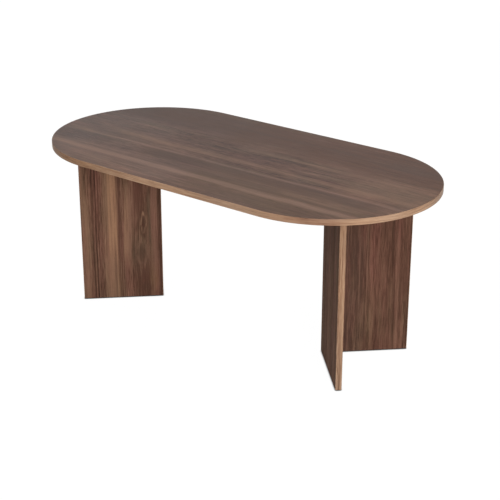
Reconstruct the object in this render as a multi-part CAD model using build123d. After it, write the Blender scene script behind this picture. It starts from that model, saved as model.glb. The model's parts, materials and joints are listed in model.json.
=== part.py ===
from build123d import *
import os

os.makedirs("parts", exist_ok=True)

# Dining table of faced boards: a long top with half-round ends on two arrowhead legs. Each leg is two
# upright panels at a right angle, with its corner towards the middle of the table and its open side out.
# The front panel runs through to that corner, and the back panel butts against its inner face.
#
# Table: +X along the top, +Y to the back, +Z up, origin on the floor below the middle of the top.
# Leg: built with its outer corner at the origin, the front panel along +X and the back panel along +Y,
# then turned and moved under the top. The left leg mirrors the right one.
# Joint between two boards: origin on the joint, +Z into the board that holds the cam, +X towards the
# face that the cam is let into.
# Lengths are in millimetres and angles in degrees.

# Overall sizes
table_length = 1800.0
table_width = 900.0
table_height = 750.0

# Boards, and the plastic edging glued around them
top_thickness = 25.0
panel_thickness = 25.0
band_thickness = 2.0
band_round = 1.2  # rounding of the edging's outer corners
foot_band_thickness = 1.0  # thin edging under the panels

# Legs
leg_setback = 462.5  # from an end of the table to the leg's outer corner
panel_reach = 354.0  # from that corner to the outer edge of either panel
leg_turn = 45.0  # from the table's length to the front panel

# Levelling glides: a moulded pad on a threaded stem, which screws into a sleeve in the panel's foot
glide_inset = 40.0  # from a panel's end to the glide
pad_diameter = 21.0
pad_thickness = 3.0
pad_chamfer = 0.8  # around the pad's foot
stem_diameter = 8.0
stem_length = 22.0  # above the pad
stem_sink = 2.0  # depth of the stem's end in the pad
stem_chamfer = 0.8
sleeve_wall = 1.5
sleeve_length = 25.0
stop_gap = 0.1  # between pad and panel when the glide is screwed home
thread_clearance = 0.05  # radial, between stem and sleeve

# Cams: a drum with an off-centre chamber that pulls on the head of a bolt
cam_diameter = 15.0
cam_setback = 34.0  # from the joint to the cam's axis
cam_clearance = 0.1  # radial, between a cam and its pocket
cam_sink = 0.2  # from the panel's face down to the cam's face
cam_base = 1.0  # metal under the chamber
cam_floor_gap = 0.3  # under the cam
chamber_radius = 5.2
chamber_throw = 0.6  # how far the chamber's centre lies behind the cam's axis, seen from the joint
slot_start_angle = -70.0  # ends of the slot for the bolt's neck, from the bolt's direction
slot_end_angle = 80.0
drive_length = 8.4  # cross recess for the screwdriver
drive_width = 1.4
drive_depth = 2.8
cap_overlap = 1.25  # what a cap covers beyond the cam
cap_thickness = 1.0
cap_chamfer = 0.4

# Bolts
thread_radius = 2.5
thread_length = 11.0
shank_radius = 3.5
neck_radius = 2.2
neck_lead = 1.5  # length of neck outside the cam
head_radius = 3.4
head_length = 4.0
head_play = 0.3  # around the head and neck inside the cam
head_seat_gap = 0.5  # between the head's face and the deepest point of the chamber's wall
bolt_bore_clearance = 0.4  # radial, around the shank

# Wooden dowels
dowel_diameter = 8.0
dowel_length = 35.0
dowel_into_mate = 12.0  # the rest is in the board that holds the cams
dowel_chamfer = 1.0

# Drilling
inner_fixing_inset = 95.0  # from a leg's outer corner to the first cam along the top
outer_fixing_inset = 70.0  # from a panel's outer edge to the last cam along the top
corner_fixing_inset = 150.0  # from a panel's top and foot to the cams of the corner joint
drill_clearance = 0.05  # radial, between a fitting and its hole
drill_spare = 0.5  # free depth behind a fitting
cut_overrun = 1.0  # what every cut passes a face by

# What follows from the sizes above
panel_bottom = pad_thickness + stop_gap
panel_top = table_height - top_thickness
core_bottom = panel_bottom + foot_band_thickness
core_height = panel_top - core_bottom
front_core_length = panel_reach - 2 * band_thickness
back_core_length = panel_reach - panel_thickness - band_thickness
half_panel = panel_thickness / 2
leg_place = Pos(table_length / 2 - leg_setback, 0, 0) * Rot(0, 0, -leg_turn)

cam_radius = cam_diameter / 2
cam_face = half_panel - cam_sink
chamber_half_height = head_radius + head_play
slot_half_height = neck_radius + head_play
cam_bottom = -chamber_half_height - cam_base
neck_start = cam_setback - cam_radius - neck_lead
head_start = cam_setback + chamber_throw - chamber_radius + head_seat_gap
head_end = head_start + head_length
stem_radius = stem_diameter / 2
sleeve_bore_radius = stem_radius + thread_clearance
sleeve_radius = sleeve_bore_radius + sleeve_wall

# Each joint has two cams and a dowel halfway: distances from a leg's outer corner, and heights
top_cam_places = [inner_fixing_inset, panel_reach - outer_fixing_inset]
top_dowel_places = [sum(top_cam_places) / 2]
corner_cam_heights = [panel_bottom + corner_fixing_inset, panel_top - corner_fixing_inset]
corner_dowel_heights = [sum(corner_cam_heights) / 2]

# Places of the glides of each panel, in the leg's frame
front_glide_places = {
    "front_apex": (glide_inset, half_panel),
    "front_outer": (panel_reach - glide_inset, half_panel),
}
back_glide_places = {
    "back_apex": (half_panel, panel_thickness + glide_inset),
    "back_outer": (half_panel, panel_reach - glide_inset),
}


def cylinder(radius, bottom, top):
    """Cylinder around Z between two heights."""
    return Pos(0, 0, bottom) * Cylinder(radius, top - bottom, align=(Align.CENTER, Align.CENTER, Align.MIN))


def corner_box(start, length, width, height):
    """Box with its lowest corner at a point."""
    return Pos(*start) * Box(length, width, height, align=(Align.MIN, Align.MIN, Align.MIN))


# Fixings, in the frame of their joint

cam_axis = Plane(origin=(0, 0, cam_setback), x_dir=(0, 0, -1), z_dir=(1, 0, 0))


def bolt():
    """Steel bolt: thread in the mating board, shank against its face, neck and head inside the cam."""
    outline = Polyline(
        (0, -thread_length),
        (thread_radius, -thread_length),
        (thread_radius, 0),
        (shank_radius, 0),
        (shank_radius, neck_start),
        (neck_radius, neck_start),
        (neck_radius, head_start),
        (head_radius, head_start),
        (head_radius, head_end),
        (0, head_end),
        close=True,
    )
    return revolve(Plane.XZ * make_face(outline), Axis.Z)


def neck_slot():
    """Slot around part of a cam's rim, which the bolt's neck travels through as the cam turns."""
    reach = Vector(cam_radius + cut_overrun, 0)
    start = reach.rotate(Axis.Z, slot_start_angle)
    middle = reach.rotate(Axis.Z, (slot_start_angle + slot_end_angle) / 2)
    end = reach.rotate(Axis.Z, slot_end_angle)
    outline = [Line((0, 0), start), ThreePointArc(start, middle, end), Line(end, (0, 0))]
    return extrude(make_face(outline), slot_half_height, both=True)


def cam():
    """Die-cast cam with its chamber, slot, mouth for the bolt's head and cross recess."""
    chamber = Pos(-chamber_throw, 0) * cylinder(chamber_radius, -chamber_half_height, chamber_half_height)
    mouth = Rot(0, 90, 0) * cylinder(head_radius + head_play, 0, cam_radius + cut_overrun)
    blade = Pos(0, 0, cam_face - drive_depth) * Box(
        drive_length, drive_width, drive_depth + cut_overrun, align=(Align.CENTER, Align.CENTER, Align.MIN)
    )
    drum = cylinder(cam_radius, cam_bottom, cam_face)
    drum -= [chamber, neck_slot(), Rot(0, 0, slot_end_angle) * mouth, blade, Rot(0, 0, 90) * blade]
    return cam_axis * drum


def cam_cap():
    """Moulded cap over a cam."""
    disc = cylinder(cam_radius + cap_overlap, half_panel, half_panel + cap_thickness)
    return cam_axis * chamfer(disc.faces().sort_by(Axis.Z)[-1].edges(), cap_chamfer)


def dowel():
    """Beech dowel with chamfered ends."""
    peg = cylinder(dowel_diameter / 2, -dowel_into_mate, dowel_length - dowel_into_mate)
    return chamfer(peg.edges().filter_by(GeomType.CIRCLE), dowel_chamfer)


def cam_cuts():
    """Cuts in the board that holds a cam: the cam's pocket and the bolt's bore."""
    pocket = cylinder(cam_radius + cam_clearance, cam_bottom - cam_floor_gap, half_panel + cut_overrun)
    bore = cylinder(max(shank_radius, head_radius) + bolt_bore_clearance, -cut_overrun, cam_setback)
    return [cam_axis * pocket, bore]


def bolt_cuts():
    """Cut in the mating board for a bolt's thread."""
    return [cylinder(thread_radius + drill_clearance, -thread_length - drill_spare, cut_overrun)]


def dowel_cuts():
    """Cut for a dowel, in either board."""
    bottom = -dowel_into_mate - drill_spare
    return [cylinder(dowel_diameter / 2 + drill_clearance, bottom, bottom + dowel_length + 2 * drill_spare)]


# Joints of a leg, in the leg's frame


def joint(point, into, face):
    """Frame of a joint at a point, from the direction into the holding board and that to its cam face."""
    return Plane(origin=point, x_dir=face, z_dir=into)


def front_top_joints(places):
    """Joints of the front panel with the top, at distances from the leg's corner."""
    return [joint((place, half_panel, panel_top), (0, 0, -1), (0, 1, 0)) for place in places]


def back_top_joints(places):
    """Joints of the back panel with the top, at distances from the leg's corner."""
    return [joint((half_panel, place, panel_top), (0, 0, -1), (1, 0, 0)) for place in places]


def corner_joints(heights):
    """Joints of the back panel with the front one, at heights."""
    return [joint((half_panel, panel_thickness, height), (0, 1, 0), (1, 0, 0)) for height in heights]


def at_each(joints, shapes):
    """Copy of every shape in a list at every joint."""
    return [place * shape for place in joints for shape in shapes]


# Levelling glides, around Z with the pad on the floor


def glide_pad():
    """Moulded pad with a chamfered foot and a hole for the stem's end."""
    pad = cylinder(pad_diameter / 2, 0, pad_thickness)
    pad = chamfer(pad.faces().sort_by(Axis.Z)[0].edges(), pad_chamfer)
    seat_radius = stem_radius + drill_clearance
    return pad - cylinder(seat_radius, pad_thickness - stem_sink, pad_thickness + cut_overrun)


def glide_stem():
    """Stem of a glide, without its thread."""
    stem = cylinder(stem_radius, pad_thickness - stem_sink, pad_thickness + stem_length)
    return chamfer(stem.faces().sort_by(Axis.Z)[-1].edges(), stem_chamfer)


def glide_sleeve():
    """Sleeve for a stem, flush with the edging under the panel."""
    top = panel_bottom + sleeve_length
    bore = cylinder(sleeve_bore_radius, panel_bottom - cut_overrun, top + cut_overrun)
    return cylinder(sleeve_radius, panel_bottom, top) - bore


def glide_cuts(places):
    """Cuts for the sleeves of the glides at the given places."""
    bore = cylinder(sleeve_radius + drill_clearance, panel_bottom - cut_overrun, panel_bottom + sleeve_length)
    return [Pos(*place) * bore for place in places.values()]


# Boards and edging of a leg, in the leg's frame


def front_panel():
    """Through panel, from the edging at the leg's corner outwards."""
    board = corner_box((band_thickness, 0, core_bottom), front_core_length, panel_thickness, core_height)
    board -= at_each(front_top_joints(top_cam_places), cam_cuts())
    board -= at_each(front_top_joints(top_dowel_places), dowel_cuts())
    board -= at_each(corner_joints(corner_cam_heights), bolt_cuts())
    board -= at_each(corner_joints(corner_dowel_heights), dowel_cuts())
    return board - glide_cuts(front_glide_places)


def back_panel():
    """Panel that butts against the inner face of the front one."""
    board = corner_box((0, panel_thickness, core_bottom), panel_thickness, back_core_length, core_height)
    board -= at_each(back_top_joints(top_cam_places) + corner_joints(corner_cam_heights), cam_cuts())
    board -= at_each(back_top_joints(top_dowel_places) + corner_joints(corner_dowel_heights), dowel_cuts())
    return board - glide_cuts(back_glide_places)


def upright_band():
    """Edging of an upright edge, with the edge on the YZ plane and the edging's rounded side at +X."""
    band = Pos(0, 0, panel_bottom) * Box(
        band_thickness,
        panel_thickness,
        panel_top - panel_bottom,
        align=(Align.MIN, Align.CENTER, Align.MIN),
    )
    return fillet(band.edges().filter_by(Axis.Z).group_by(Axis.X)[-1], band_round)


def front_foot_band():
    """Thin edging under the front panel."""
    start = (band_thickness, 0, panel_bottom)
    band = corner_box(start, front_core_length, panel_thickness, foot_band_thickness)
    return band - glide_cuts(front_glide_places)


def back_foot_band():
    """Thin edging under the back panel."""
    start = (0, panel_thickness, panel_bottom)
    band = corner_box(start, panel_thickness, back_core_length, foot_band_thickness)
    return band - glide_cuts(back_glide_places)


def leg_pieces():
    """Lists of the solids of each node of one leg."""
    top_cam_joints = front_top_joints(top_cam_places) + back_top_joints(top_cam_places)
    top_dowel_joints = front_top_joints(top_dowel_places) + back_top_joints(top_dowel_places)
    corner_cam_joints = corner_joints(corner_cam_heights)
    glide_places = front_glide_places | back_glide_places
    band_seat = panel_reach - band_thickness
    pieces = {
        "front_panel": [front_panel()],
        "back_panel": [back_panel()],
        "front_outer_band": [Pos(band_seat, half_panel) * upright_band()],
        "front_apex_band": [Pos(band_thickness, half_panel) * Rot(0, 0, 180) * upright_band()],
        "back_outer_band": [Pos(half_panel, band_seat) * Rot(0, 0, 90) * upright_band()],
        "front_foot_band": [front_foot_band()],
        "back_foot_band": [back_foot_band()],
        "top_cams": at_each(top_cam_joints, [cam()]),
        "top_bolts": at_each(top_cam_joints, [bolt()]),
        "top_dowels": at_each(top_dowel_joints, [dowel()]),
        "corner_cams": at_each(corner_cam_joints, [cam()]),
        "corner_bolts": at_each(corner_cam_joints, [bolt()]),
        "corner_dowels": at_each(corner_joints(corner_dowel_heights), [dowel()]),
        "cam_caps": at_each(top_cam_joints + corner_cam_joints, [cam_cap()]),
        "glide_sleeves": [Pos(*place) * glide_sleeve() for place in glide_places.values()],
    }
    for name, place in glide_places.items():
        pieces[name + "_glide_pad"] = [Pos(*place) * glide_pad()]
        pieces[name + "_glide_stem"] = [Pos(*place) * glide_stem()]
    return pieces


# Top, in the table's frame


def both_sides(shapes):
    """A leg's shapes in place under the top, and their mirror images on the left."""
    right = [leg_place * shape for shape in shapes]
    return right, [mirror(shape, about=Plane.YZ) for shape in right]


def top_board():
    """Board of the top, drilled from below for the bolts and dowels of both legs."""
    outline = SlotOverall(table_length - 2 * band_thickness, table_width - 2 * band_thickness)
    board = Pos(0, 0, panel_top) * extrude(outline, top_thickness)
    cuts = at_each(front_top_joints(top_cam_places) + back_top_joints(top_cam_places), bolt_cuts())
    cuts += at_each(front_top_joints(top_dowel_places) + back_top_joints(top_dowel_places), dowel_cuts())
    right, left = both_sides(cuts)
    return board - right - left


def top_edge_band():
    """Edging around the top, with rounded outer corners."""
    outline = SlotOverall(table_length, table_width)
    outline -= SlotOverall(table_length - 2 * band_thickness, table_width - 2 * band_thickness)
    band = Pos(0, 0, panel_top) * extrude(outline, top_thickness)
    rims = [face.outer_wire() for face in band.faces().filter_by(Axis.Z)]
    return fillet([edge for rim in rims for edge in rim.edges()], band_round)


# Whole table

export_step(top_board(), "parts/top_board.step")
export_step(top_edge_band(), "parts/top_edge_band.step")
for name, solids in leg_pieces().items():
    for side, placed in zip(("right", "left"), both_sides(solids)):
        export_step(Compound(placed) if len(placed) > 1 else placed[0], f"parts/{side}_{name}.step")
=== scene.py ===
import json
import math

import bmesh
import bpy
import numpy as np
from mathutils import Matrix, Vector

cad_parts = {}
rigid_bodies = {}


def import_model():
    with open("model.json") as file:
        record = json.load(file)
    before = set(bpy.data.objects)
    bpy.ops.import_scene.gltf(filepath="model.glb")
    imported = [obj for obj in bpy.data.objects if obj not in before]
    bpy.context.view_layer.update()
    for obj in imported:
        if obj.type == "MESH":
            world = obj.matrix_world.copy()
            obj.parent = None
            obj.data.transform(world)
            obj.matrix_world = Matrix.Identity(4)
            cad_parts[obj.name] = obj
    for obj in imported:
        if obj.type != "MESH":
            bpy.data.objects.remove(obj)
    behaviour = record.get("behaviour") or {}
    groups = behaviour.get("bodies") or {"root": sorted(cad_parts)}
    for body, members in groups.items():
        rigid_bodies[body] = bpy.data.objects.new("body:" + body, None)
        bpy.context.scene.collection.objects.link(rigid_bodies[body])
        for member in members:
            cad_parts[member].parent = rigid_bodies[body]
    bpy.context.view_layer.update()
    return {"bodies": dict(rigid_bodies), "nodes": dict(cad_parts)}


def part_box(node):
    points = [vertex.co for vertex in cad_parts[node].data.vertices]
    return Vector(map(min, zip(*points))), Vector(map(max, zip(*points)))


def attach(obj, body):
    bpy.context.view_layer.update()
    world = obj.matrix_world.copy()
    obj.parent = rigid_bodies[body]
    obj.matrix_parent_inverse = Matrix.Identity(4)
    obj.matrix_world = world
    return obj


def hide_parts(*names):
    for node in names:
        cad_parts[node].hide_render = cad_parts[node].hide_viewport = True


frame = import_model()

# Dining table with a walnut-patterned top and two V-shaped panel legs. Lengths are in metres.

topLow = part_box("top_board")[0]
edgeLow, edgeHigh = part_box("top_edge_band")

legPlan = {
    "cornerX": 0.4375,  # from the middle of the table to a leg's outer corner
    "reach": 0.354,  # from that corner to a panel's outer edge
    "thickness": 0.025,
    "turn": 45,  # degrees from the table's length to a panel
    "bottom": 0.0031,
}
legPlan["top"] = topLow.z

# Each panel's run: the leg's side, and the direction in degrees from the leg's corner to the panel's
# outer edge
panelRuns = {
    "right_front": (1, -legPlan["turn"]),
    "right_back": (1, legPlan["turn"]),
    "left_front": (-1, 180 + legPlan["turn"]),
    "left_back": (-1, 180 - legPlan["turn"]),
}

# Helpers for node trees: each takes numbers or sockets and gives back a socket


def feed(tree, socket, value):
    if isinstance(value, bpy.types.NodeSocket):
        tree.links.new(value, socket)
    elif value is not None:
        socket.default_value = value


def calc(tree, operation, first, second=None, third=None, clamp=False):
    node = tree.nodes.new("ShaderNodeMath")
    node.operation = operation
    node.use_clamp = clamp
    for socket, value in zip(node.inputs, (first, second, third)):
        feed(tree, socket, value)
    return node.outputs[0]


def times(tree, first, second):
    return calc(tree, "MULTIPLY", first, second)


def minus(tree, first, second):
    return calc(tree, "SUBTRACT", first, second)


def vectorMath(tree, operation, first, second):
    node = tree.nodes.new("ShaderNodeVectorMath")
    node.operation = operation
    feed(tree, node.inputs[0], first)
    feed(tree, node.inputs[1], second)
    return node.outputs[0]


def stretch(tree, vector, factors):
    return vectorMath(tree, "MULTIPLY", vector, factors)


def shift(tree, vector, offset):
    return vectorMath(tree, "ADD", vector, offset)


def split(tree, vector):
    node = tree.nodes.new("ShaderNodeSeparateXYZ")
    feed(tree, node.inputs[0], vector)
    return node.outputs


def combine(tree, x, y, z):
    node = tree.nodes.new("ShaderNodeCombineXYZ")
    for socket, value in zip(node.inputs, (x, y, z)):
        feed(tree, socket, value)
    return node.outputs[0]


def noise(tree, vector, scale=1.0, detail=2.0, roughness=0.5):
    node = tree.nodes.new("ShaderNodeTexNoise")
    feed(tree, node.inputs["Vector"], vector)
    feed(tree, node.inputs["Scale"], scale)
    feed(tree, node.inputs["Detail"], detail)
    feed(tree, node.inputs["Roughness"], roughness)
    return node.outputs[0]


def mapRange(tree, value, fromLow, fromHigh, toLow=0.0, toHigh=1.0, kind="LINEAR"):
    node = tree.nodes.new("ShaderNodeMapRange")
    node.interpolation_type = kind
    for socket, number in zip(node.inputs, (value, fromLow, fromHigh, toLow, toHigh)):
        feed(tree, socket, number)
    return node.outputs[0]


def ramp(tree, factor, stops):
    # stops: position and colour of each
    node = tree.nodes.new("ShaderNodeValToRGB")
    elements = node.color_ramp.elements
    while len(elements) < len(stops):
        elements.new(0.5)
    for element, (position, colour) in zip(elements, stops):
        element.position = position
        element.color = (*colour, 1)
    feed(tree, node.inputs[0], factor)
    return node.outputs[0]


def blend(tree, factor, first, second, kind="MIX"):
    node = tree.nodes.new("ShaderNodeMix")
    node.data_type = "RGBA"
    node.blend_type = kind
    feed(tree, node.inputs["Factor"], factor)
    for socket, value in ((node.inputs[6], first), (node.inputs[7], second)):
        feed(tree, socket, (*value, 1) if isinstance(value, tuple) else value)
    return node.outputs[2]


def newGroup(name, inputs, outputs):
    # A socket called Vector is a vector, and any other is a number, whose default is in inputs
    tree = bpy.data.node_groups.new(name, "ShaderNodeTree")
    for labels, side in ((inputs, "INPUT"), (outputs, "OUTPUT")):
        for label in labels:
            kind = "NodeSocketVector" if label == "Vector" else "NodeSocketFloat"
            socket = tree.interface.new_socket(name=label, in_out=side, socket_type=kind)
            if side == "INPUT" and label != "Vector":
                socket.default_value = inputs[label]
    return tree, tree.nodes.new("NodeGroupInput").outputs, tree.nodes.new("NodeGroupOutput").inputs


def useGroup(tree, group, **values):
    node = tree.nodes.new("ShaderNodeGroup")
    node.node_tree = group
    for label, value in values.items():
        feed(tree, node.inputs[label], value)
    return node.outputs


def newMaterial(name):
    material = bpy.data.materials.new(name)
    material.use_nodes = True
    return material, material.node_tree, material.node_tree.nodes["Principled BSDF"]


def mapped(tree, socket, location, rotation):
    # A vector turned and then moved; rotation is in degrees
    mapping = tree.nodes.new("ShaderNodeMapping")
    tree.links.new(socket, mapping.inputs["Vector"])
    mapping.inputs["Location"].default_value = location
    mapping.inputs["Rotation"].default_value = [math.radians(angle) for angle in rotation]
    return mapping.outputs[0]


def objectVector(tree, location=(0, 0, 0), rotation=(0, 0, 0)):
    coordinates = tree.nodes.new("ShaderNodeTexCoord")
    return mapped(tree, coordinates.outputs["Object"], location, rotation)


def uvVector(tree, rotation):
    coordinates = tree.nodes.new("ShaderNodeUVMap")
    coordinates.uv_map = "surface"
    return mapped(tree, coordinates.outputs[0], (0, 0, 0), rotation)


print("studio")

cameraView = {
    "azimuth": 38.772,
    "elevation": 22.106,
    "roll": 0.096,
    "place": (3.2056, -3.9134, 2.3888),
    "lens": 93.08,
    "sensor": 36,
}

lamps = {
    "keyLamp": {"place": (8.0, -5.9, 2.7), "size": (3.6, 3.6), "power": 660},
    "fillLamp": {"place": (-3.0, -4.5, 3.0), "size": (3.0, 2.0), "power": 26},
    "rearLamp": {"place": (-6.5, 7.0, 2.7), "size": (3.6, 3.6), "power": 300},
    "topLamp": {"place": (1.7, 0.2, 2.9), "size": (2.5, 2.5), "power": 20},
}

studio = {
    "aim": (0, 0, 0.45),
    "ambient": 0.36,
    "floorSize": 60,
    "floorColour": (0.86, 0.86, 0.86),
    "floorGlow": 0.94,  # share of plain white in the floor that the camera sees
    "glowStrength": 1.045,
    "contact": 0.010,  # how far a foot's contact shadow reaches
    "contactRange": (0.40, 0.85),  # openness to the sky from full contact shadow to none
    "contactShade": 0.25,  # the floor's share of its colour in full contact shadow
}


def addCamera():
    data = bpy.data.cameras.new("camera")
    data.sensor_width = cameraView["sensor"]
    data.lens = cameraView["lens"]
    camera = bpy.data.objects.new("camera", data)
    bpy.context.scene.collection.objects.link(camera)
    camera.matrix_world = (
        Matrix.Translation(cameraView["place"])
        @ Matrix.Rotation(math.radians(cameraView["azimuth"]), 4, "Z")
        @ Matrix.Rotation(math.radians(90 - cameraView["elevation"]), 4, "X")
        @ Matrix.Rotation(math.radians(cameraView["roll"]), 4, "Z")
    )
    bpy.context.scene.camera = camera


def addLamp(name, place, size, power):
    # An area lamp at a place, turned to face the aim point. What shines in the gloss is the plain
    # background, so that no view has a lamp's glare on the top.
    data = bpy.data.lights.new(name, "AREA")
    data.shape = "RECTANGLE"
    data.size, data.size_y = size
    data.energy = power
    lamp = bpy.data.objects.new(name, data)
    bpy.context.scene.collection.objects.link(lamp)
    lamp.location = place
    lamp.rotation_euler = (Vector(studio["aim"]) - lamp.location).to_track_quat("-Z", "Y").to_euler()
    lamp.visible_glossy = False


def showsBackground(tree):
    # 1 for rays that see the background, from the camera or by way of gloss or glass, and 0 for the rest
    path = tree.nodes.new("ShaderNodeLightPath")
    seen = calc(tree, "MAXIMUM", path.outputs["Is Camera Ray"], path.outputs["Is Glossy Ray"])
    return calc(tree, "MAXIMUM", seen, path.outputs["Is Transmission Ray"])


def lightWorld():
    world = bpy.data.worlds.new("studio")
    bpy.context.scene.world = world
    world.use_nodes = True
    tree = world.node_tree
    background = tree.nodes["Background"]
    background.inputs["Color"].default_value = (1, 1, 1, 1)
    seen = showsBackground(tree)
    strength = calc(tree, "MULTIPLY_ADD", seen, 1 - studio["ambient"], studio["ambient"])
    tree.links.new(strength, background.inputs["Strength"])


def layFloor():
    half = studio["floorSize"] / 2
    corners = [(-half, -half, 0), (half, -half, 0), (half, half, 0), (-half, half, 0)]
    mesh = bpy.data.meshes.new("floor")
    mesh.from_pydata(corners, [], [(0, 1, 2, 3)])
    floor = bpy.data.objects.new("floor", mesh)
    bpy.context.scene.collection.objects.link(floor)
    material, tree, shader = newMaterial("floor")
    shader.inputs["Roughness"].default_value = 1
    shader.inputs["Specular IOR Level"].default_value = 0
    glow = tree.nodes.new("ShaderNodeEmission")
    glow.inputs["Color"].default_value = (1, 1, 1, 1)
    glow.inputs["Strength"].default_value = studio["glowStrength"]
    mix = tree.nodes.new("ShaderNodeMixShader")
    contact = tree.nodes.new("ShaderNodeAmbientOcclusion")
    contact.inputs["Distance"].default_value = studio["contact"]
    clear = mapRange(tree, contact.outputs["AO"], *studio["contactRange"])
    shade = mapRange(tree, clear, 0.0, 1.0, studio["contactShade"], 1.0)
    colour = blend(tree, 1.0, studio["floorColour"], combine(tree, shade, shade, shade), "MULTIPLY")
    tree.links.new(colour, shader.inputs["Base Color"])
    glowing = times(tree, clear, studio["floorGlow"])
    share = times(tree, showsBackground(tree), glowing)
    tree.links.new(share, mix.inputs["Fac"])
    tree.links.new(shader.outputs[0], mix.inputs[1])
    tree.links.new(glow.outputs[0], mix.inputs[2])
    tree.links.new(mix.outputs[0], tree.nodes["Material Output"].inputs["Surface"])
    mesh.materials.append(material)


addCamera()
for name, lamp in lamps.items():
    addLamp(name, **lamp)
lightWorld()
layFloor()
bpy.context.scene.view_settings.view_transform = "Standard"

print("shared effects")

# In all of them the vector's X runs across the grain, Y into the surface and Z along the grain

# Frequencies on these three axes, detail and roughness of each noise
noises = {
    "drift": ((6, 30, 2.5), 2, 0.5),
    "bands": ((11, 30, 2.2), 2, 0.55),
    "streaks": ((50, 40, 2.2), 2, 0.6),
    "lines": ((170, 50, 6), 3, 0.65),
    "fine": ((520, 60, 18), 3, 0.6),
    "flecks": ((300, 60, 22), 2, 0.6),
    "pores": ((1500, 60, 50), 2, 0.5),
    "rings": ((8, 20, 1.1), 1, 0.4),
    "hue": ((22, 30, 3), 2, 0.5),
    "streakDrift": ((4, 4, 3.2), 2, 0.5),
    "streakLines": ((230, 40, 7), 2, 0.5),
    "knotOutline": ((45, 30, 14), 3, 0.5),
    "knotGaps": ((90, 40, 16), 3, 0.5),
}

# Pairs are the values of a noise or radius that give 0 and 1, unless the line says otherwise
grainShape = {
    "ringTurns": 90.0,
    "patchBands": (0.62, 0.38, 0.3, 1.7),  # from light to dark bands, the share of flecks
    "flecks": (0.52, 0.70),
    "pores": (0.58, 0.72),
    "hue": (0.3, 0.7),
    "hueOffset": (7.3, 2.1, 4.9),
    "fineRelief": 0.4,
    "streakBreaks": (0.32, 0.60, 0.4, 1.0),  # from the lowest to the highest, the streak's share
}
knotShape = {
    "uneven": 1.5,
    "bendFade": 0.6,
    "core": (0.75, 0.25),
    "ring": (0.38, 0.05),
    "gaps": (0.36, 0.58),
    "shade": (2.6, 0.9),
    "coreShare": 0.8,
    "shadeShare": 0.35,
}
sheenNoise = {"detail": 5, "roughness": 0.6}
mouldedShape = {"slowShare": 0.05, "slow": (0.3, 0.7, 0.85, 1.15)}  # slow noise to shade


def grainNoise(tree, vector, kind):
    frequencies, detail, roughness = noises[kind]
    return noise(tree, stretch(tree, vector, frequencies), detail=detail, roughness=roughness)


def fromMiddle(tree, value):
    return minus(tree, value, 0.5)


def makeWalnutGrain():
    # Printed walnut. Bands, streaks, lines and fine lines are noise drawn out along the grain, whose
    # places across it wander. Flecks are short dark dashes, drawn out by Length as the lines are, and
    # lie in patches, mostly where the bands are dark; pores are still shorter. Rings are the level lines
    # of a slow noise, which close into arches and eyes.
    inputs = {"Vector": None, "Seed": 0.0, "Middle": 0.5, "Bands": 0.5, "Streaks": 0.6, "Lines": 0.6}
    inputs |= {"Fine": 0.5, "Flecks": 0.1, "Length": 1.0, "Rings": 0.1, "Wander": 0.03}
    group, given, out = newGroup("walnutGrain", inputs, ["Tone", "Hue", "Pores", "Height"])
    placed = shift(group, given["Vector"], combine(group, given["Seed"], given["Seed"], given["Seed"]))
    drift = fromMiddle(group, grainNoise(group, placed, "drift"))
    moved = times(group, drift, given["Wander"])
    wandering = shift(group, placed, combine(group, moved, 0.0, 0.0))
    drawn = stretch(group, wandering, combine(group, 1.0, 1.0, calc(group, "DIVIDE", 1.0, given["Length"])))
    bands = grainNoise(group, wandering, "bands")
    fine = grainNoise(group, wandering, "fine")
    patterns = {
        "Bands": bands,
        "Streaks": grainNoise(group, wandering, "streaks"),
        "Lines": grainNoise(group, drawn, "lines"),
        "Fine": fine,
    }
    turns = times(group, grainNoise(group, wandering, "rings"), grainShape["ringTurns"])
    tone = times(group, calc(group, "SINE", turns), given["Rings"])
    for label, pattern in patterns.items():
        tone = calc(group, "MULTIPLY_ADD", fromMiddle(group, pattern), given[label], tone)
    patches = mapRange(group, bands, *grainShape["patchBands"])
    flecks = mapRange(group, grainNoise(group, drawn, "flecks"), *grainShape["flecks"])
    dashes = times(group, flecks, patches)
    tone = minus(group, tone, times(group, dashes, given["Flecks"]))
    group.links.new(calc(group, "ADD", tone, given["Middle"]), out["Tone"])
    hue = grainNoise(group, shift(group, wandering, grainShape["hueOffset"]), "hue")
    group.links.new(mapRange(group, hue, *grainShape["hue"]), out["Hue"])
    pores = mapRange(group, grainNoise(group, wandering, "pores"), *grainShape["pores"])
    group.links.new(pores, out["Pores"])
    relief = times(group, fine, grainShape["fineRelief"])
    group.links.new(minus(group, relief, pores), out["Height"])
    return group


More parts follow.
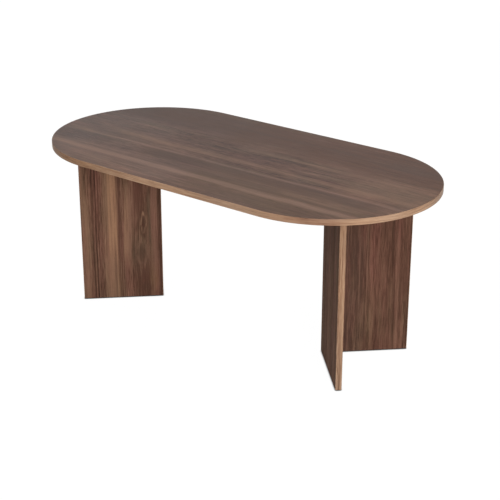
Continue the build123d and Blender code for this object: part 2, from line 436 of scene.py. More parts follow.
def makeGrainStreak():
    # One band that runs along the grain from low to high: 1 within its half width, fading to 0 over
    # its softness. It leans by so much a metre, its edges wander, and fine lines break it up.
    inputs = {"Vector": None, "Place": 0.0, "HalfWidth": 0.01, "Softness": 0.005, "Low": -9.0, "High": 9.0}
    inputs |= {"Lean": 0.0, "Fade": 0.08, "Strength": 1.0, "Wander": 0.012}
    group, given, out = newGroup("grainStreak", inputs, ["Mask"])
    place = given["Place"]
    seeded = shift(group, given["Vector"], combine(group, place, place, place))
    drift = fromMiddle(group, grainNoise(group, seeded, "streakDrift"))
    x, y, z = split(group, given["Vector"])
    across = calc(group, "MULTIPLY_ADD", drift, given["Wander"], x)
    across = calc(group, "MULTIPLY_ADD", z, given["Lean"], across)
    distance = calc(group, "ABSOLUTE", minus(group, across, place))
    inner = minus(group, given["HalfWidth"], given["Softness"])
    outer = calc(group, "ADD", given["HalfWidth"], given["Softness"])
    mask = mapRange(group, distance, outer, inner, kind="SMOOTHSTEP")
    reach = times(group, given["Fade"], -1.0)
    for end, sign in (("Low", 1), ("High", -1)):
        beyond = times(group, minus(group, z, given[end]), sign)
        within = mapRange(group, beyond, reach, given["Fade"], kind="SMOOTHSTEP")
        mask = times(group, mask, within)
    lines = grainNoise(group, seeded, "streakLines")
    mask = times(group, mask, mapRange(group, lines, *grainShape["streakBreaks"]))
    group.links.new(times(group, mask, given["Strength"]), out["Mask"])
    return group


def makeGrainKnot():
    # A knot or eye: around its middle the grain is pressed outwards, and its masks are a core, a ring
    # at one radius and a shade that fades out beyond it. Noise makes its outline uneven.
    inputs = {"Vector": None, "Across": 0.0, "Along": 0.0, "HalfWidth": 0.01, "HalfHeight": 0.05}
    inputs |= {"Bend": 0.7}
    group, given, out = newGroup("grainKnot", inputs, ["Vector", "Core", "Ring", "Shade"])
    x, y, z = split(group, given["Vector"])
    aside = minus(group, x, given["Across"])
    uneven = fromMiddle(group, grainNoise(group, given["Vector"], "knotOutline"))
    across = calc(group, "DIVIDE", aside, given["HalfWidth"])
    across = calc(group, "MULTIPLY_ADD", uneven, knotShape["uneven"], across)
    along = calc(group, "DIVIDE", minus(group, z, given["Along"]), given["HalfHeight"])
    square = calc(group, "MULTIPLY_ADD", across, across, times(group, along, along))
    radius = calc(group, "SQRT", square)
    fade = calc(group, "EXPONENT", times(group, square, -knotShape["bendFade"]))
    push = times(group, times(group, fade, given["Bend"]), aside)
    group.links.new(combine(group, minus(group, x, push), y, z), out["Vector"])
    group.links.new(mapRange(group, radius, *knotShape["core"], kind="SMOOTHSTEP"), out["Core"])
    off = calc(group, "ABSOLUTE", minus(group, radius, 1.0))
    ring = mapRange(group, off, *knotShape["ring"], kind="SMOOTHSTEP")
    gaps = mapRange(group, grainNoise(group, given["Vector"], "knotGaps"), *knotShape["gaps"])
    group.links.new(times(group, ring, gaps), out["Ring"])
    group.links.new(mapRange(group, radius, *knotShape["shade"], kind="SMOOTHSTEP"), out["Shade"])
    return group


def makeHandling():
    # Faint cloudy wiping marks on the sheen: roughness around a middle value
    inputs = {"Vector": None, "Middle": 0.4, "Spread": 0.05, "Scale": 6.0}
    group, given, out = newGroup("handling", inputs, ["Roughness"])
    clouds = noise(group, given["Vector"], given["Scale"], **sheenNoise)
    offset = times(group, fromMiddle(group, clouds), given["Spread"])
    group.links.new(calc(group, "ADD", offset, given["Middle"], clamp=True), out["Roughness"])
    return group


def makeMoulded():
    # Spark-eroded texture of moulded plastic: fine grains over a slow unevenness
    group, given, out = newGroup("moulded", {"Vector": None, "Scale": 900.0}, ["Shade", "Height"])
    group.links.new(noise(group, given["Vector"], given["Scale"]), out["Height"])
    slowScale = times(group, given["Scale"], mouldedShape["slowShare"])
    slow = noise(group, given["Vector"], slowScale)
    group.links.new(mapRange(group, slow, *mouldedShape["slow"]), out["Shade"])
    return group


walnutGrain = makeWalnutGrain()
grainStreak = makeGrainStreak()
grainKnot = makeGrainKnot()
handling = makeHandling()
moulded = makeMoulded()

print("materials")

walnut = {
    # Colours of the print from its darkest lines to its lightest, by tone
    "stops": [
        (0.05, (0.040, 0.020, 0.014)),
        (0.30, (0.089, 0.045, 0.031)),
        (0.50, (0.152, 0.079, 0.054)),
        (0.70, (0.203, 0.108, 0.074)),
        (0.95, (0.282, 0.162, 0.109)),
    ],
    "reddish": (1.10, 0.93, 0.97),
    "olive": (0.93, 1.04, 0.93),
    "poreColour": (0.030, 0.016, 0.011),
    "poreShare": 0.45,
    "sheen": {"Spread": 0.10, "Scale": 5.0},
    "relief": 0.00004,
}

honey = (0.330, 0.182, 0.106)
tan = (0.260, 0.146, 0.090)
sand = (0.232, 0.124, 0.083)
rose = (0.176, 0.086, 0.061)
maroon = (0.083, 0.038, 0.026)
umber = (0.080, 0.041, 0.028)
soot = (0.040, 0.020, 0.014)
moss = (0.085, 0.056, 0.037)
# Grey laid over the wood as painted sheen: the grey veil that gloss gives it at grazing angles
paintedSheenGrey = (0.118, 0.096, 0.088)
blush = (0.262, 0.152, 0.108)
russet = (0.172, 0.094, 0.046)
garnet = (0.140, 0.046, 0.012)
# Light colour used only for painted light along the edging round the top
paintedLightCream = (0.500, 0.330, 0.220)

# Streaks: place across the grain, half width, softness, low and high end, colour, strength and, where it
# leans, its lean. On a panel the place is the distance from the leg's corner and the ends are heights; on
# the top the place is from the middle line, and the ends are along its length.
topStreaks = [
    # Painted sheen: grey over the left end of the top
    (0.000, 0.480, 0.020, -1.00, -0.62, paintedSheenGrey, 0.22),
    (0.000, 0.480, 0.020, -1.00, -0.40, paintedSheenGrey, 0.12),
    # Painted light: the right end of the top, nearer the key lamp, made lighter
    (0.000, 0.120, 0.080, 0.55, 1.10, tan, 0.42),
    (-0.060, 0.110, 0.080, -1.10, -0.20, blush, 0.14),
    # Painted shade: this and the six broad streaks after it darken the back of the top, which gets less
    # light; the garnet ones also make it redder
    (0.295, 0.138, 0.050, -1.20, 1.20, umber, 0.66),
    (0.330, 0.110, 0.050, -1.20, 0.05, umber, 0.34),
    (0.340, 0.120, 0.050, -1.20, -0.05, soot, 0.17),
    (0.290, 0.080, 0.040, -1.20, 0.10, umber, 0.32),
    (0.310, 0.125, 0.050, -0.10, 1.20, maroon, 0.16),
    (0.290, 0.170, 0.050, -0.20, 1.20, garnet, 0.19),
    (0.340, 0.120, 0.050, -0.70, -0.20, garnet, 0.10),
    (0.308, 0.014, 0.010, -0.25, 0.45, umber, 0.40),
    (0.290, 0.040, 0.020, 0.55, 0.95, umber, 0.58),
    (0.110, 0.040, 0.030, 0.40, 0.66, umber, 0.22),
    (0.115, 0.008, 0.006, -0.15, 0.45, umber, 0.35),
    (0.094, 0.009, 0.008, -0.05, 0.75, tan, 0.35),
    (0.075, 0.0025, 0.002, 0.10, 0.60, soot, 0.38),
    (0.062, 0.003, 0.002, 0.00, 0.50, soot, 0.42),
    (0.048, 0.0025, 0.002, -0.10, 0.45, soot, 0.36),
    (0.030, 0.009, 0.006, -0.20, 0.25, umber, 0.50),
    (-0.014, 0.010, 0.008, 0.10, 0.45, umber, 0.45),
    (-0.055, 0.016, 0.010, -0.60, 0.90, tan, 0.38),
    (-0.100, 0.005, 0.004, 0.10, 0.85, soot, 0.40),
    (-0.127, 0.009, 0.007, -0.80, 0.90, blush, 0.52),
    (-0.174, 0.040, 0.018, -0.35, 0.80, umber, 0.78),
    (-0.255, 0.016, 0.010, -0.70, -0.20, blush, 0.25),
    (-0.268, 0.011, 0.006, -0.20, 0.85, umber, 0.80),
    # Painted light: the front of the top's left half made lighter
    (-0.340, 0.090, 0.050, -0.70, -0.02, blush, 0.34),
    (-0.305, 0.018, 0.012, -0.80, 0.80, blush, 0.74),
    (-0.385, 0.040, 0.020, 0.05, 0.75, umber, 0.32),
    (-0.320, 0.140, 0.070, 0.00, 1.10, russet, 0.28),
    (-0.238, 0.018, 0.010, -0.15, 0.40, umber, 0.45),
]
whole = (-0.10, 0.80)  # ends of a streak over a panel's whole height
panelStreaks = {
    "left_front": [
        # Painted shade: a dark line along the board's outer edge
        (0.353, 0.002, 0.001, *whole, soot, 0.60),
        (0.342, 0.007, 0.004, *whole, sand, 0.30),
        (0.330, 0.007, 0.004, 0.05, 0.45, tan, 0.55),
        (0.301, 0.003, 0.0015, *whole, soot, 0.75),
        (0.288, 0.003, 0.0015, *whole, soot, 0.90),
        (0.277, 0.003, 0.0015, *whole, soot, 0.55),
        (0.266, 0.002, 0.0015, -0.10, 0.50, umber, 0.60),
        (0.234, 0.018, 0.014, *whole, tan, 0.50),
        (0.196, 0.006, 0.004, *whole, honey, 0.45),
        (0.215, 0.019, 0.004, 0.19, 0.80, honey, 0.88),
        (0.217, 0.016, 0.008, -0.10, 0.19, tan, 0.62),
        (0.206, 0.004, 0.002, -0.10, 0.24, umber, 0.45),
        (0.184, 0.009, 0.004, *whole, maroon, 0.70, -0.01),
        (0.171, 0.003, 0.002, -0.10, 0.28, soot, 0.55),
        (0.166, 0.012, 0.005, 0.18, 0.48, tan, 0.92, 0.035),
        (0.160, 0.006, 0.004, 0.00, 0.18, rose, 0.40),
        (0.142, 0.010, 0.006, 0.16, 0.52, sand, 0.62),
        (0.125, 0.014, 0.008, 0.35, 0.60, rose, 0.40),
        (0.098, 0.024, 0.010, 0.38, 0.80, maroon, 0.85),
        (0.100, 0.032, 0.016, 0.14, 0.27, moss, 0.75),
        (0.088, 0.036, 0.014, -0.10, 0.17, maroon, 0.95),
        (0.056, 0.007, 0.004, 0.24, 0.50, moss, 0.75),
        (0.034, 0.013, 0.006, 0.10, 0.60, rose, 0.65),
        (0.038, 0.020, 0.010, 0.05, 0.12, russet, 0.55),
        (0.036, 0.012, 0.008, 0.16, 0.48, sand, 0.35),
        (0.010, 0.009, 0.004, *whole, soot, 0.70),
    ],
    "right_back": [
        (0.114, 0.005, 0.003, 0.36, 0.80, soot, 0.45),
        (0.130, 0.034, 0.015, 0.20, 0.80, umber, 0.34),
        (0.139, 0.0025, 0.0015, 0.10, 0.80, soot, 0.45, 0.02),
        (0.145, 0.002, 0.001, 0.05, 0.50, sand, 0.40),
        (0.152, 0.0025, 0.0015, 0.25, 0.70, soot, 0.40),
        (0.165, 0.0025, 0.0015, *whole, soot, 0.45, -0.02),
        (0.176, 0.002, 0.001, 0.30, 0.60, sand, 0.80),
        (0.190, 0.004, 0.0025, 0.10, 0.60, soot, 0.50, 0.02),
        (0.202, 0.006, 0.004, -0.10, 0.28, tan, 0.32),
        # Painted sheen: grey over the lower part of this board
        (0.105, 0.060, 0.030, -0.10, 0.55, paintedSheenGrey, 0.10),
        (0.225, 0.018, 0.010, *whole, maroon, 0.30),
        (0.268, 0.026, 0.014, *whole, maroon, 0.40),
        (0.294, 0.005, 0.003, *whole, soot, 0.48, 0.03),
        (0.306, 0.007, 0.004, 0.00, 0.50, sand, 0.35, 0.02),
        (0.330, 0.018, 0.010, 0.20, 0.80, maroon, 0.60),
        (0.349, 0.004, 0.003, *whole, soot, 0.60),
    ],
    "right_front": [
        # Painted sheen: grey over the whole of this board
        (0.180, 0.240, 0.020, *whole, paintedSheenGrey, 0.38),
        (0.060, 0.020, 0.012, *whole, moss, 0.60),
        (0.150, 0.012, 0.008, *whole, sand, 0.35),
        (0.230, 0.030, 0.015, *whole, umber, 0.45),
        (0.300, 0.010, 0.006, *whole, sand, 0.35),
        (0.110, 0.030, 0.020, -0.10, 0.35, maroon, 0.30),
        (0.330, 0.020, 0.012, *whole, moss, 0.40),
        (0.347, 0.006, 0.004, *whole, maroon, 0.45),
        (0.245, 0.010, 0.006, 0.30, 0.80, moss, 0.45),
    ],
    "left_back": [
        (0.080, 0.018, 0.010, *whole, tan, 0.55),
        (0.108, 0.004, 0.002, *whole, soot, 0.70, 0.02),
        (0.200, 0.030, 0.016, -0.10, 0.50, umber, 0.60),
        (0.255, 0.008, 0.004, 0.20, 0.80, sand, 0.55),
        (0.312, 0.012, 0.006, *whole, rose, 0.55),
    ],
}

# Knots: place across, place along, half width, half height, bend, and the ring's colour and strength
knots = {
    "top": [(0.080, 0.600, 0.012, 0.022, 0.6, sand, 0.45)],
    "left_front": [
        (0.080, 0.357, 0.0115, 0.043, 0.8, tan, 0.95),
        (0.080, 0.322, 0.007, 0.024, 0.5, maroon, 0.70),
        (0.090, 0.215, 0.022, 0.062, 0.6, sand, 0.35),
        (0.075, 0.045, 0.014, 0.016, 0.6, umber, 0.60),
    ],
    "right_front": [(0.200, 0.300, 0.014, 0.060, 0.7, sand, 0.40)],
    "left_back": [(0.160, 0.480, 0.012, 0.050, 0.7, sand, 0.60)],
}

alongX = (0, -90, -90)  # turns X along the grain, Y across it and Z into the surface

streakLabels = ("Place", "HalfWidth", "Softness", "Low", "High")
knotLabels = ("Across", "Along", "HalfWidth", "HalfHeight", "Bend")


def layStreaks(tree, vector, colour, streaks, share, wander):
    # The colour with each streak laid over it in turn
    for streak in streaks:
        shade, strength, *lean = streak[len(streakLabels) :]
        values = dict(zip(streakLabels, streak), Vector=vector, Strength=strength * share, Wander=wander)
        values |= zip(["Lean"], lean)
        colour = blend(tree, useGroup(tree, grainStreak, **values)["Mask"], colour, shade)
    return colour


def finishShader(tree, shader, vector, colour, sheen, height, depth):
    # Colour, sheen with its wiping marks, and a relief of so many metres
    marks = useGroup(tree, handling, Vector=vector, **sheen)
    relief = tree.nodes.new("ShaderNodeBump")
    relief.inputs["Distance"].default_value = depth
    tree.links.new(height, relief.inputs["Height"])
    tree.links.new(colour, shader.inputs["Base Color"])
    tree.links.new(marks["Roughness"], shader.inputs["Roughness"])
    tree.links.new(relief.outputs[0], shader.inputs["Normal"])


def walnutMaterial(name, vectorOf, board, streaks, settings):
    # Each knot bends the grain around it before the next effect reads it
    material, tree, shader = newMaterial(name)
    vector = vectorOf(tree)
    rings = []
    for *form, shade, strength in knots.get(board, ()):
        knot = useGroup(tree, grainKnot, Vector=vector, **dict(zip(knotLabels, form)))
        vector = knot["Vector"]
        rings.append((knot, shade, strength))
    grain = useGroup(tree, walnutGrain, Vector=vector, **settings["pattern"])
    colour = ramp(tree, grain["Tone"], walnut["stops"])
    tint = blend(tree, grain["Hue"], walnut["olive"], walnut["reddish"])
    colour = blend(tree, settings["hueShare"], colour, tint, "MULTIPLY")
    colour = layStreaks(tree, vector, colour, streaks, settings["streakShare"], settings["streakWander"])
    for knot, shade, strength in rings:
        parts = (
            (knot["Shade"], knotShape["shadeShare"], umber),
            (knot["Ring"], 1.0, shade),
            (knot["Core"], knotShape["coreShare"], umber),
        )
        for mask, share, paint in parts:
            colour = blend(tree, times(tree, mask, share * strength), colour, paint)
    pores = times(tree, grain["Pores"], walnut["poreShare"])
    colour = blend(tree, pores, colour, walnut["poreColour"])
    sheen = {"Middle": settings["roughness"]} | walnut["sheen"]
    finishShader(tree, shader, vector, colour, sheen, grain["Height"], walnut["relief"])
    shader.inputs["Specular IOR Level"].default_value = settings["specular"]
    return material


topFinish = {
    "pattern": {
        "Seed": 3.1,
        "Bands": 0.6,
        "Streaks": 0.6,
        "Lines": 1.05,
        "Fine": 1.3,
        "Flecks": 0.30,
        "Rings": 0.02,
        "Wander": 0.025,
        "Middle": 0.450,
    },
    "hueShare": 0.7,
    "streakShare": 1.3,
    "streakWander": 0.012,
    "roughness": 0.40,
    "specular": 0.070,
}
panelFinish = {
    "pattern": {
        "Bands": 0.45,
        "Streaks": 0.45,
        "Lines": 1.1,
        "Fine": 1.3,
        "Flecks": 0.18,
        "Rings": 0.03,
        "Wander": 0.03,
    },
    "hueShare": 0.9,
    "streakShare": 1.0,
    "streakWander": 0.007,
    "roughness": 0.8,
    "specular": 0.012,
}
panelPatterns = {
    # What each board has of its own, but for the lower Middle of right_back, which is painted shade
    "left_front": {
        "Seed": 11.3,
        "Middle": 0.55,
        "Streaks": 0.32,
        "Lines": 1.35,
        "Length": 3.5,
        "Wander": 0.018,
    },
    "right_back": {
        "Seed": 5.7,
        # Painted shade: a darker tone for the shade inside the right leg, under the top
        "Middle": 0.420,
        "Bands": 0.60,
        "Streaks": 0.24,
        "Lines": 0.40,
        "Fine": 1.05,
        "Flecks": 0.05,
        "Length": 1.8,
    },
    "right_front": {"Seed": 8.2, "Middle": 0.73, "Streaks": 0.65, "Lines": 1.4, "Fine": 2.0},
    "left_back": {"Seed": 14.9, "Middle": 0.52, "Length": 1.5},
}


def panelVector(run, across):
    # Vector function of a panel: distance from the leg's corner, depth and height; or, for an edge
    # across the panel, depth, distance and height
    side, direction = panelRuns[run]
    turn = -direction - (0 if across else 90)
    corner = Matrix.Rotation(math.radians(turn), 3, "Z") @ Vector((side * legPlan["cornerX"], 0, 0))
    return lambda tree: objectVector(tree, -corner, (0, 0, turn))


def footVector(run):
    # Vector function of the edging under a panel: its grain runs along the panel
    return lambda tree: objectVector(tree, (0, 0, 0), (-90, -90 - panelRuns[run][1], 0))


def edgeBandMaterial(name, vectorOf, seamOf, settings):
    # Light plastic edging with a printed grain, and a dark line where it is glued to the board: seamOf
    # gives the distance from that line
    material, tree, shader = newMaterial(name)
    vector = vectorOf(tree)
    grain = useGroup(tree, walnutGrain, Vector=vector, **settings["pattern"])
    colour = ramp(tree, grain["Tone"], settings["stops"])
    tint = blend(tree, grain["Hue"], settings["warm"], settings["cool"])
    colour = blend(tree, 1.0, colour, tint, "MULTIPLY")
    # Painted light and shade along the edging, by place
    if "paintedLightAndShade" in settings:
        paintedLightAndShade = settings["paintedLightAndShade"]
        x, y, z = split(tree, objectVector(tree))
        share = mapRange(tree, x, paintedLightAndShade["from"], paintedLightAndShade["to"])
        share = times(tree, share, mapRange(tree, y, paintedLightAndShade["back"], paintedLightAndShade["front"]))
        colour = blend(tree, share, colour, blend(tree, 1.0, colour, paintedLightAndShade["tint"], "MULTIPLY"))
        streaks = [paintedLightAndShade["cover"] + part for part in paintedLightAndShade["parts"]]
        colour = layStreaks(tree, vector, colour, streaks, 1.0, 0.0)
    if seamOf:
        line = mapRange(tree, seamOf(tree, vector), *settings["glueRange"])
        colour = blend(tree, line, colour, settings["glueColour"])
    finishShader(tree, shader, vector, colour, settings["sheen"], grain["Height"], settings["relief"])
    shader.inputs["Specular IOR Level"].default_value = settings["specular"]
    return material


def nearest(tree, value, places):
    # Distance from a value to the nearest of some places
    distances = [calc(tree, "ABSOLUTE", minus(tree, value, place)) for place in places]
    return calc(tree, "MINIMUM", *distances)


edging = {
    "thickness": 0.002,
    "round": 0.0012,
    "roundSteps": 7,
    "support": 0.0003,  # from a rounding to the line that keeps the flat beside it flat
    "endSteps": 160,
    "sideSteps": 40,
    "glueRange": (0.0003, 0.00015),  # from the seam, where the glue's line begins and is full
    "glueColour": (0.070, 0.038, 0.025),
    "warm": (1.11, 1.08, 1.03),
    "cool": (1.05, 1.11, 1.19),
    "sheen": {"Middle": 0.42, "Spread": 0.12, "Scale": 9.0},
    "specular": 0.08,
    "relief": 0.00003,
    "pattern": {
        "Seed": 21.0,
        "Bands": 0.5,
        "Streaks": 0.5,
        "Lines": 1.2,
        "Fine": 1.1,
        "Flecks": 0.15,
        "Rings": 0.0,
        "Wander": 0.01,
        "Middle": 0.52,
    },
    "stops": [
        (0.12, (0.130, 0.066, 0.038)),
        (0.35, (0.255, 0.143, 0.085)),
        (0.55, (0.335, 0.198, 0.121)),
        (0.85, (0.440, 0.285, 0.184)),
    ],
}
# Painted light and shade on the edging round the top. Painted shade makes it darker and yellower at the
# front of the left end, which faces away from the lamps. Its parts are painted light where they are lighter
# and painted shade where they are darker: their ends are distances along it from the middle of the back
# side, by the left end.
paintedLightAndShade = {
    "from": -0.20,
    "to": -0.72,
    "back": 0.05,
    "front": -0.30,
    # painted shade: what the front of the left end is multiplied by
    "tint": (0.64, 0.53, 0.38),
    "cover": (0.0, 0.1, 0.01),  # place, half width and softness of a streak over the whole section
    # painted light and painted shade along the edging: start, end, colour and strength of each
    "parts": [
        (2.17, 2.28, paintedLightCream, 0.40),
        (2.55, 2.84, paintedLightCream, 0.38),
        (2.87, 3.09, rose, 0.45),
        (3.13, 3.36, paintedLightCream, 0.32),
        (3.53, 3.90, umber, 0.48),
    ],
}
# The upright edging has a slightly darker, plainer pattern
uprightPattern = {"Seed": 33.0, "Middle": 0.415, "Bands": 0.15, "Streaks": 0.3, "Lines": 0.8, "Length": 3.0}
# The edging under the panels is brown
footEdging = edging | {
    "pattern": {
        "Seed": 27.0,
        "Bands": 0.2,
        "Streaks": 0.4,
        "Lines": 0.8,
        "Fine": 0.6,
        "Rings": 0.0,
        "Wander": 0.01,
    },
    "stops": [
        (0.2, (0.045, 0.026, 0.018)),
        (0.5, (0.085, 0.050, 0.035)),
        (0.8, (0.130, 0.078, 0.053)),
    ],
    "warm": (1.04, 0.98, 0.95),
    "cool": (0.97, 1.01, 1.02),
}

# Plain stuffs: colour, roughness, metallic share, frequency of the fine relief and its depth
plainStuffs = {
    "zinc": ((0.50, 0.50, 0.51), 0.45, 1.0, 700.0, 0.00003),
    "steel": ((0.60, 0.60, 0.61), 0.30, 1.0, 900.0, 0.00001),
    "beech": ((0.55, 0.37, 0.22), 0.60, 0.0, 500.0, 0.00004),
    "brownPlastic": ((0.085, 0.048, 0.034), 0.50, 0.0, 1500.0, 0.00003),
    "blackPlastic": ((0.018, 0.018, 0.018), 0.55, 0.0, 1500.0, 0.00003),
}
plainSheen = {"Spread": 0.15, "Scale": 120.0}


def plainMaterial(name, colour, roughness, metallic, scale, depth):
    # Moulded, cast or turned stuff: one colour, varied slowly, over a fine relief
    material, tree, shader = newMaterial(name)
    vector = objectVector(tree)
    relief = useGroup(tree, moulded, Vector=vector, Scale=scale)
    shade = relief["Shade"]
    tinted = blend(tree, 1.0, colour, combine(tree, shade, shade, shade), "MULTIPLY")
    finishShader(tree, shader, vector, tinted, {"Middle": roughness} | plainSheen, relief["Height"], depth)
    shader.inputs["Metallic"].default_value = metallic
    return material


walnutTop = walnutMaterial(
    "walnutTop", lambda tree: objectVector(tree, (0, 0, 0), alongX), "top", topStreaks, topFinish
)
walnutPanels = {
    run: walnutMaterial(
        "walnutPanel_" + run,
        panelVector(run, True),
        run,
        panelStreaks[run],
        panelFinish | {"pattern": panelFinish["pattern"] | panelPatterns[run]},
    )
    for run in panelRuns
}
# Round the top the seams are the two ends of the section, whose length is the UV's second value
sectionLength = 2 * (edging["thickness"] - edging["round"]) + math.pi * edging["round"]
sectionLength += edgeHigh.z - edgeLow.z - 2 * edging["round"]
roundEdging = edgeBandMaterial(
    "roundEdging",
    lambda tree: uvVector(tree, alongX),
    lambda tree, vector: nearest(tree, split(tree, uvVector(tree, (0, 0, 0)))[1], (0, sectionLength)),
    edging | {"paintedLightAndShade": paintedLightAndShade},
)
uprightSeams = (edging["thickness"], legPlan["reach"] - edging["thickness"])
uprightEdging = {
    run: edgeBandMaterial(
        "uprightEdging_" + run,
        panelVector(run, False),
        lambda tree, vector: nearest(tree, split(tree, vector)[1], uprightSeams),
        edging | {"pattern": edging["pattern"] | uprightPattern},
    )
    for run in panelRuns
}
footEdgings = {
    run: edgeBandMaterial("footEdging_" + run, footVector(run), None, footEdging) for run in panelRuns
}
plain = {name: plainMaterial(name, *stuff) for name, stuff in plainStuffs.items()}

print("surfaces")

meshRules = {"weld": 1e-7, "sharp": 35}  # how near points are merged, and the angle of a sharp edge
quadSteps = ((0, 0), (1, 0), (1, 1), (0, 1))  # the corners of a quad, in rows and columns


def addSurface(name, grids, closeRows=False, lengths=None):
    # One mesh of quads over grids of points, all of the same rows and columns, whose columns close on
    # themselves. Doubled points at poles are merged. lengths gives the UV: the distance along the rows
    # and round the columns.
    points = np.asarray(grids, float)
    copies, rows, columns = points.shape[:3]
    starts = np.arange(rows if closeRows else rows - 1), np.arange(columns)
    row, column = (part.ravel() for part in np.meshgrid(*starts, indexing="ij"))
    quads = np.stack([(row + i) % rows * columns + (column + j) % columns for i, j in quadSteps], 1)
    quads = (quads[None] + np.arange(copies)[:, None, None] * rows * columns).reshape(-1, 4)
    mesh = bpy.data.meshes.new(name)
    mesh.from_pydata(points.reshape(-1, 3).tolist(), [], quads.tolist())
    if lengths:
        u, v = lengths
        corners = np.stack([np.stack([u[row + i], v[column + j]], 1) for i, j in quadSteps], 1)
        layer = mesh.uv_layers.new(name="surface")
        layer.data.foreach_set("uv", np.tile(corners.reshape(-1), copies).astype(np.float32))
    weld(mesh)
    mesh.shade_smooth()
    mesh.set_sharp_from_angle(angle=math.radians(meshRules["sharp"]))
    piece = bpy.data.objects.new(name, mesh)
    bpy.context.scene.collection.objects.link(piece)
    return piece


def weld(mesh):
    work = bmesh.new()
    work.from_mesh(mesh)
    bmesh.ops.remove_doubles(work, verts=work.verts, dist=meshRules["weld"])
    bmesh.ops.recalc_face_normals(work, faces=work.faces)
    work.to_mesh(mesh)
    work.free()


def finishPiece(piece, body, material, replaced):
    piece.data.materials.append(material)
    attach(piece, body)
    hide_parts(*replaced)


def arc(centre, radius, start, end, steps):
    # Points of a circular arc between two angles, in degrees
    angle = np.radians(np.linspace(start, end, steps + 1))
    return np.stack([centre[0] + radius * np.cos(angle), centre[1] + radius * np.sin(angle)], 1)


def bandProfile(height):
    # Section of the edging: out from the board in the first value and up in the second, rounded at its
    # two outer corners, as a closed loop that starts at the lower inner corner
    thickness, radius, support = edging["thickness"], edging["round"], edging["support"]
    lower = arc((thickness - radius, radius), radius, -90, 0, edging["roundSteps"])
    upper = arc((thickness - radius, height - radius), radius, 0, 90, edging["roundSteps"])
    return np.concatenate(
        [
            [(0, 0), (support, 0)],
            lower,
            [(thickness, radius + support), (thickness, height - radius - support)],
            upper,
            [(support, height), (0, height)],
        ]
    )


def loopLengths(points):
    # Distance along a loop of points, up to and with its closing step
    steps = np.linalg.norm(np.diff(np.concatenate([points, points[:1]]), axis=0), axis=1)
    return np.concatenate([[0], np.cumsum(steps)])


def stadiumPath(length, width):
    # Outline of the top: two straight sides and two half circles, with the outward direction at each
    # point, counted from the middle of the back side and round by the left end
    radius, straight = width / 2, (length - width) / 2
    side = np.linspace(0, 1, edging["sideSteps"], endpoint=False)
    turn = np.pi * np.linspace(0, 1, edging["endSteps"], endpoint=False)
    flat = np.zeros_like(side)
    back = np.stack([flat, flat + 1], 1)
    curve = np.stack([-np.sin(turn), np.cos(turn)], 1)
    places = [
        np.stack([-straight * side, flat + radius], 1),
        [-straight, 0] + radius * curve,
        np.stack([-straight + 2 * straight * side, flat - radius], 1),
        [straight, 0] - radius * curve,
        np.stack([straight - straight * side, flat + radius], 1),
    ]
    return np.concatenate(places), np.concatenate([back, curve, -back, -curve, back])


def sweepBand(path, outward, profile, bottom):
    # Surface of the edging: at each path point the profile stands out along the outward direction
    out, up = profile[:, 0], profile[:, 1]
    flat = path[:, None, :] + outward[:, None, :] * out[None, :, None]
    height = np.broadcast_to(bottom + up, flat.shape[:2])
    return np.concatenate([flat, height[..., None]], 2)


def addTopEdgeBand():
    thickness = edging["thickness"]
    size = edgeHigh - edgeLow
    profile = bandProfile(size.z)
    path, outward = stadiumPath(size.x - 2 * thickness, size.y - 2 * thickness)
    lengths = (loopLengths(path + outward * thickness), loopLengths(profile))
    piece = addSurface("topEdgeBand", [sweepBand(path, outward, profile, edgeLow.z)], True, lengths)
    finishPiece(piece, "table", roundEdging, ["top_edge_band"])


def panelFrame(run):
    # A leg's corner, the direction from it along a panel, and that across the panel into the leg
    side, direction = panelRuns[run]
    angle = math.radians(direction)
    along = np.array([math.cos(angle), math.sin(angle), 0])
    inward = np.array([-along[1], along[0], 0]) * (1 if run in ("right_front", "left_back") else -1)
    return np.array([side * legPlan["cornerX"], 0, 0]), along, inward


def addUprightBands():
    # The same section stands on its end: its length is the panel's thickness and its path runs up,
    # from a point in its middle at the foot to one at the top, which close it
    thickness = edging["thickness"]
    profile = bandProfile(legPlan["thickness"])
    middle = np.broadcast_to(profile.mean(0), profile.shape)
    sections = np.stack([middle, profile, profile, middle])
    heights = np.array([legPlan["bottom"], legPlan["bottom"], legPlan["top"], legPlan["top"]])
    ends = [(run, "outer", legPlan["reach"] - thickness, 1) for run in panelRuns]
    ends += [(run, "apex", thickness, -1) for run in panelRuns if "front" in run]
    for run, end, start, facing in ends:
        corner, along, inward = panelFrame(run)
        grid = corner + along * (start + facing * sections[..., :1]) + inward * sections[..., 1:]
        grid[..., 2] = heights[:, None]
        piece = addSurface(f"{run}_{end}_edgeBand", [grid])
        finishPiece(piece, "table", uprightEdging[run], [f"{run}_{end}_band"])


capShape = {
    "radius": 0.00875,
    "thickness": 0.001,
    "dome": 0.0002,  # from the rim's top to the middle
    "rimRound": 0.0005,
    "rimSteps": 5,
    "crownSteps": 28,
    "grooveRadius": 0.0062,
    "grooveDepth": 0.0002,
    "grooveWidth": 0.00035,
    "steps": 48,
    "topPlaces": (0.095, 0.284),  # from the leg's corner
    "belowTop": 0.034,
    "cornerPlace": 0.059,
    "cornerInset": 0.150,
}


def turned(profile, steps, origin, first, second, axis):
    # Surface of revolution: every profile point, a radius and a height, goes round the axis
    angle = np.linspace(0, 2 * np.pi, steps, endpoint=False)
    radius, height = profile[:, 0, None, None], profile[:, 1, None, None]
    spoke = np.cos(angle)[None, :, None] * first + np.sin(angle)[None, :, None] * second
    return origin + radius * spoke + height * axis


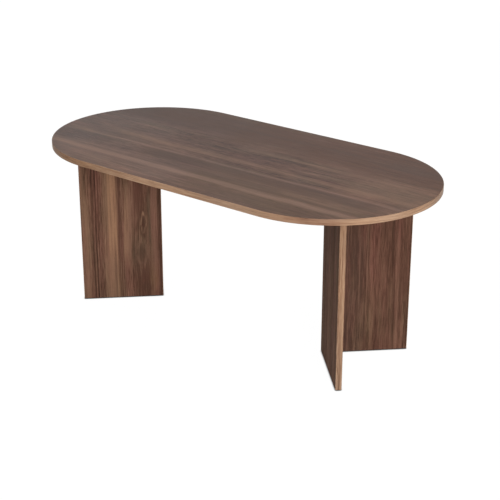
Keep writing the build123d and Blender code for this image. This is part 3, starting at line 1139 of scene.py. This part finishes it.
def capProfile():
    # Rim with a quarter-round edge, then a dome that rises as a parabola, with a ring pressed into it
    # whose section is a bell curve
    radius, dome, rounding = capShape["radius"], capShape["dome"], capShape["rimRound"]
    shoulder = capShape["thickness"] - dome
    rim = arc((radius - rounding, shoulder - rounding), rounding, 0, 90, capShape["rimSteps"])
    across = np.linspace(rim[-1, 0], 0, capShape["crownSteps"])[1:]
    rise = dome * (1 - (across / radius) ** 2)
    offset = (across - capShape["grooveRadius"]) / capShape["grooveWidth"]
    crown = np.stack([across, shoulder + rise - capShape["grooveDepth"] * np.exp(-(offset**2))], 1)
    return np.concatenate([[(0, 0), (radius, 0)], rim, crown])


def addCamCaps():
    up = np.array([0, 0, 1])
    for side in ("right", "left"):
        caps = []
        for run in (side + "_front", side + "_back"):
            corner, along, inward = panelFrame(run)
            places = [(place, legPlan["top"] - capShape["belowTop"]) for place in capShape["topPlaces"]]
            if run.endswith("back"):
                places.append((capShape["cornerPlace"], legPlan["top"] - capShape["cornerInset"]))
                places.append((capShape["cornerPlace"], legPlan["bottom"] + capShape["cornerInset"]))
            for place, height in places:
                centre = corner + along * place + inward * legPlan["thickness"] + up * height
                caps.append(turned(capProfile(), capShape["steps"], centre, along, up, inward))
        piece = addSurface(side + "_camCaps", caps)
        finishPiece(piece, "table", plain["brownPlastic"], [side + "_cam_caps"])


glideShape = {
    "padRadius": 0.0105,
    "padThickness": 0.003,
    "footChamfer": 0.0008,
    "rimRound": 0.0004,
    "rimSteps": 4,
    "flutes": 12,
    "fluteDepth": 0.0006,
    "fluteFade": 0.001,  # inwards from the foot's chamfer
    "socketClearance": 0.00005,
    "socketFlat": 0.001,  # from the socket to the line that keeps the flat round it flat
    "padSteps": 96,
    "stemRadius": 0.004,
    "stemSink": 0.002,
    "stemLength": 0.022,
    "shank": 0.0012,  # plain part above the pad
    "pitch": 0.00125,
    "threadDepth": 0.00065,
    "rowsPerTurn": 8,
    "stemSteps": 28,
    "endChamfer": 0.0006,
}


def around(centre, radii, heights, angle):
    # Points round an upright axis, from a grid of radii by height and angle
    x, y = centre.x + radii * np.cos(angle), centre.y + radii * np.sin(angle)
    return np.stack([x, y, np.broadcast_to(heights[:, None], radii.shape)], 2)


def padSurface(centre):
    # Surface of revolution with a chamfered foot, a rounded rim and a socket for the stem. Its rim is
    # fluted: the radius dips by a squared raised cosine of the angle, and less inwards of the rim.
    radius, height = glideShape["padRadius"], glideShape["padThickness"]
    chamfer, rounding, fade = (glideShape[key] for key in ("footChamfer", "rimRound", "fluteFade"))
    socket = glideShape["stemRadius"] + glideShape["socketClearance"]
    bottom = height - glideShape["stemSink"]
    profile = np.concatenate(
        [
            [(0, 0), (radius - chamfer, 0), (radius, chamfer)],
            arc((radius - rounding, height - rounding), rounding, 0, 90, glideShape["rimSteps"]),
            [(socket + glideShape["socketFlat"], height), (socket, height), (socket, bottom), (0, bottom)],
        ]
    )
    angle = np.linspace(0, 2 * np.pi, glideShape["padSteps"], endpoint=False)
    wave = (0.5 - 0.5 * np.cos(glideShape["flutes"] * angle)) ** 2
    atRim = np.clip((profile[:, 0] - radius + chamfer + fade) / fade, 0, 1)
    radii = profile[:, :1] - glideShape["fluteDepth"] * atRim[:, None] * wave[None, :]
    return around(centre, radii, profile[:, 1], angle)


def stemSurface(centre):
    # Screw: the radius at a height and angle falls from the crest by a triangle wave of height over
    # pitch less angle over a full turn, so the crest climbs one pitch a turn. Both ends are chamfered.
    radius, pitch = glideShape["stemRadius"], glideShape["pitch"]
    low = glideShape["padThickness"] - glideShape["stemSink"]
    high = glideShape["padThickness"] + glideShape["stemLength"]
    start = glideShape["padThickness"] + glideShape["shank"]
    turns = int((high - start) / pitch * glideShape["rowsPerTurn"])
    height = np.concatenate([[low, low, start], np.linspace(start, high, turns + 1)[1:], [high]])
    angle = np.linspace(0, 2 * np.pi, glideShape["stemSteps"], endpoint=False)
    phase = height[:, None] / pitch - angle[None, :] / (2 * np.pi)
    wave = np.abs(2 * (phase - np.floor(phase)) - 1)
    cut = np.clip((height - start) / pitch, 0, 1)[:, None]
    radii = radius - glideShape["threadDepth"] * wave * cut
    taper = np.clip((high - height) / glideShape["endChamfer"], 0, 1)[:, None]
    radii = np.minimum(radii, radius - glideShape["endChamfer"] * (1 - taper))
    radii[[0, -1]] = 0
    return around(centre, radii, height, angle)


def addGlides():
    for body in frame["bodies"]:
        if not body.endswith("_glide"):
            continue
        low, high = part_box(body + "_pad")
        centre = (low + high) / 2
        pad = addSurface(body + "_padMoulding", [padSurface(centre)])
        finishPiece(pad, body, plain["blackPlastic"], [body + "_pad"])
        stem = addSurface(body + "_screw", [stemSurface(centre)])
        finishPiece(stem, body, plain["steel"], [body + "_stem"])


addTopEdgeBand()
addUprightBands()
addCamCaps()
addGlides()

print("finishes of the packed parts")

nodeFinishes = {
    "zinc": ("top_cams", "corner_cams", "glide_sleeves"),
    "steel": ("top_bolts", "corner_bolts"),
    "beech": ("top_dowels", "corner_dowels"),
}


def dress(node, material):
    for place in frame["nodes"][node].material_slots:
        place.material = material


dress("top_board", walnutTop)
for run in panelRuns:
    dress(run + "_panel", walnutPanels[run])
    dress(run + "_foot_band", footEdgings[run])
for side in ("right", "left"):
    for finish, names in nodeFinishes.items():
        for name in names:
            dress(f"{side}_{name}", plain[finish])
